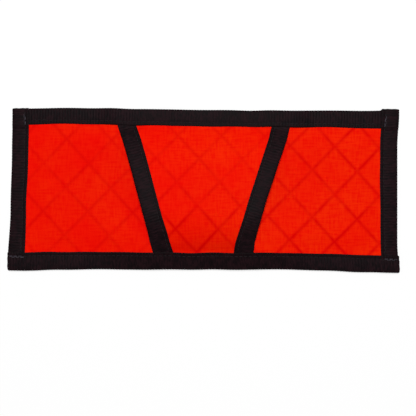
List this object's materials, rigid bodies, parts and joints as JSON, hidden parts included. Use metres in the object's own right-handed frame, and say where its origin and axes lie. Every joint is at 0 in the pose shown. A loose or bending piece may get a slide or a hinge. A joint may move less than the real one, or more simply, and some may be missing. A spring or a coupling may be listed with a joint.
{
  "type": "hand warmer muff",
  "caption": "Flat rectangular hand warmer muff of laminated sailcloth with bound edges and a trapezoid pass-through pocket open at both slanted sides.",
  "frame": {"origin": "centre of the muff's footprint, on the plane that its back lies on", "axes": "+X along the length towards the wearer's left hand, +Y up the height when worn, +Z out of the pocket front"},
  "size_m": [0.404, 0.167, 0.0228],
  "materials": {
    "sailcloth": "orange-red woven laminate with a diamond yarn grid",
    "binding_tape": "black ribbed grosgrain tape",
    "fleece": "charcoal brushed fleece",
    "back_cloth": "black woven pack cloth",
    "sewing_thread": "black twisted sewing thread"
  },
  "bodies": {
    "base": {"back_panel": "back_cloth", "base_insulation": "fleece", "base_shell": "sailcloth", "pocket_top_hem": "sailcloth", "pocket_bottom_hem": "sailcloth", "top_binding": "binding_tape", "bottom_binding": "binding_tape", "left_binding": "binding_tape", "right_binding": "binding_tape", "top_needle_thread": "sewing_thread", "top_bobbin_thread": "sewing_thread", "bottom_needle_thread": "sewing_thread", "bottom_bobbin_thread": "sewing_thread", "left_needle_thread": "sewing_thread", "left_bobbin_thread": "sewing_thread", "right_needle_thread": "sewing_thread", "right_bobbin_thread": "sewing_thread"},
    "pocket": {"pocket_shell": "sailcloth", "pocket_lining": "fleece", "left_mouth_binding": "binding_tape", "right_mouth_binding": "binding_tape", "left_mouth_needle_thread": "sewing_thread", "left_mouth_bobbin_thread": "sewing_thread", "right_mouth_needle_thread": "sewing_thread", "right_mouth_bobbin_thread": "sewing_thread"}
  },
  "joints": [
    {"name": "pocket_gape", "type": "slide", "parent": "base", "child": "pocket", "axis": [0, 0, 1], "range_m": [0, 0.022]}
  ]
}
